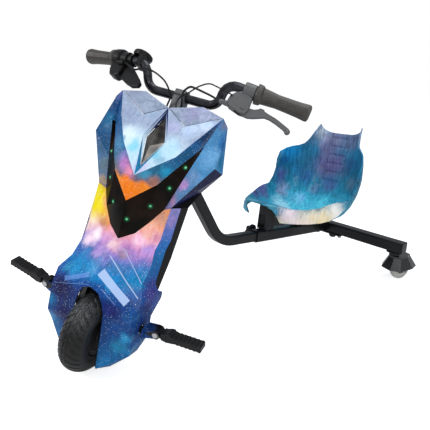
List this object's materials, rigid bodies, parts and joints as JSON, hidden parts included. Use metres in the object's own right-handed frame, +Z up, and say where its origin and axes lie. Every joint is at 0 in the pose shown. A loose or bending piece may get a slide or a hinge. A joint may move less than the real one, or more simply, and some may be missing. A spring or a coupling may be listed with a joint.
{
  "type": "drift kart",
  "caption": "Electric drift kart: steered, driven front wheel under a faceted cowl, telescoping tube frame, bucket seat and swivelling rear casters.",
  "frame": {"origin": "floor point under the front wheel when it points straight ahead, on the kart's middle plane", "axes": "+Z up from the floor, +Y towards the seat and the rear casters, +X towards the rider's left"},
  "size_m": [0.6318, 1.1242, 0.7201],
  "materials": {
    "black_steel": "satin powder coat",
    "zinc": "zinc plated",
    "satin_tube": "satin grey lacquer",
    "cast_alloy": "grey coated casting",
    "grip_rubber": "matte",
    "tyre": "moulded road tread",
    "hub_alloy": "machined",
    "black_plastic": "fine grained",
    "smoked_gloss": "smoked gloss",
    "green_lens": "clear green",
    "pale_print": "printed film under clear coat",
    "blue_print": "printed film under clear coat",
    "deep_print": "printed film under clear coat",
    "seat_print": "printed film under clear coat",
    "emblem": "smoked gloss",
    "polyurethane": "satin",
    "display_glass": "gloss"
  },
  "bodies": {
    "frame": {"main_tube": "black_steel", "head_tube": "black_steel", "head_bearing_lower": "zinc", "head_bearing_upper": "zinc"},
    "steering": {"fork": "black_steel", "axle": "zinc", "axle_nut_left": "zinc", "axle_nut_right": "zinc", "stem": "cast_alloy", "stem_cap": "cast_alloy", "handlebar": "satin_tube", "grip_left": "grip_rubber", "grip_right": "grip_rubber", "brake_perch": "cast_alloy", "throttle_housing": "black_plastic", "display_pod": "black_plastic", "display_glass": "display_glass", "cowl_mask": "pale_print", "top_panel_left": "pale_print", "top_panel_right": "pale_print", "light_band": "smoked_gloss", "led_strip": "green_lens", "side_wing_left": "blue_print", "side_wing_right": "blue_print", "cowl_lower": "deep_print", "cowl_rear_cover": "black_plastic", "wheel_well": "black_plastic", "cowl_bracket": "black_steel", "battery_pack": "black_plastic", "emblem_inlay": "emblem", "peg_bracket_left": "black_steel", "peg_bracket_right": "black_steel", "brake_cable": "black_plastic", "brake_switch_wire": "black_plastic", "throttle_cable": "black_plastic"},
    "front_wheel": {"front_tyre": "tyre", "hub_motor": "hub_alloy"},
    "peg_left_arm": {"peg_left": "black_plastic"},
    "peg_right_arm": {"peg_right": "black_plastic"},
    "brake_lever_arm": {"brake_lever": "cast_alloy"},
    "thumb_lever_arm": {"thumb_lever": "black_plastic"},
    "rear": {"rear_sleeve": "black_steel", "rear_beam": "black_steel", "beam_plug_left": "black_plastic", "beam_plug_right": "black_plastic", "beam_saddle": "black_steel", "saddle_bolt_left": "zinc", "saddle_bolt_right": "zinc", "caster_mount_left": "black_steel", "caster_mount_right": "black_steel", "seat_shell": "seat_print", "seat_front_bracket": "black_steel", "seat_rear_bracket": "black_steel"},
    "lock_knob": {"length_lock_knob": "black_plastic"},
    "caster_left_fork": {"caster_guard_left": "black_plastic", "caster_axle_left": "zinc"},
    "caster_right_fork": {"caster_guard_right": "black_plastic", "caster_axle_right": "zinc"},
    "caster_left_wheel": {"caster_wheel_left": "polyurethane"},
    "caster_right_wheel": {"caster_wheel_right": "polyurethane"}
  },
  "joints": [
    {"name": "steering_turn", "type": "hinge", "parent": "frame", "child": "steering", "pos_m": [0, 0.02043, 0.1], "axis": [0, 0.454, 0.891], "range_deg": [-73, 17]},
    {"name": "front_wheel_spin", "type": "hinge", "parent": "steering", "child": "front_wheel", "pos_m": [0.00854, 0.0019, 0.09903], "axis": [0.8829, 0.4183, -0.2131], "continuous": true},
    {"name": "peg_left_fold", "type": "hinge", "parent": "steering", "child": "peg_left_arm", "pos_m": [0.14489, 0.09018, 0.11928], "axis": [0.4183, -0.9071, -0.0474], "range_deg": [0, 85]},
    {"name": "peg_right_fold", "type": "hinge", "parent": "steering", "child": "peg_right_arm", "pos_m": [-0.12529, -0.03782, 0.1845], "axis": [-0.4183, 0.9071, 0.0474], "range_deg": [0, 85]},
    {"name": "brake_squeeze", "type": "hinge", "parent": "steering", "child": "brake_lever_arm", "pos_m": [0.14854, 0.33825, 0.58489], "axis": [0.6397, -0.5304, 0.5562], "range_deg": [0, 15], "stiffness_Nm_per_rad": 0.5, "springref_deg": -14.32},
    {"name": "thumb_press", "type": "hinge", "parent": "steering", "child": "thumb_lever_arm", "pos_m": [-0.16919, 0.22742, 0.69212], "axis": [-0.9645, -0.2503, 0.0844], "range_deg": [0, 18], "stiffness_Nm_per_rad": 0.25, "springref_deg": -17.19},
    {"name": "length_adjust", "type": "slide", "parent": "frame", "child": "rear", "axis": [0, 0.989, -0.1478], "range_m": [-0.08, 0.12]},
    {"name": "lock_knob_turn", "type": "hinge", "parent": "rear", "child": "lock_knob", "pos_m": [0, 0.58, 0.1774], "axis": [1, 0, 0], "range_deg": [0, 360]},
    {"name": "caster_left_swivel", "type": "hinge", "parent": "rear", "child": "caster_left_fork", "pos_m": [0.27, 0.945, 0.08], "axis": [0, 0, 1], "continuous": true},
    {"name": "caster_right_swivel", "type": "hinge", "parent": "rear", "child": "caster_right_fork", "pos_m": [-0.27, 0.945, 0.08], "axis": [0, 0, 1], "continuous": true},
    {"name": "caster_left_roll", "type": "hinge", "parent": "caster_left_fork", "child": "caster_left_wheel", "pos_m": [0.28102, 0.97611, 0.035], "axis": [0.9426, -0.3338, 0], "continuous": true},
    {"name": "caster_right_roll", "type": "hinge", "parent": "caster_right_fork", "child": "caster_right_wheel", "pos_m": [-0.25898, 0.97611, 0.035], "axis": [0.9426, -0.3338, 0], "continuous": true}
  ]
}
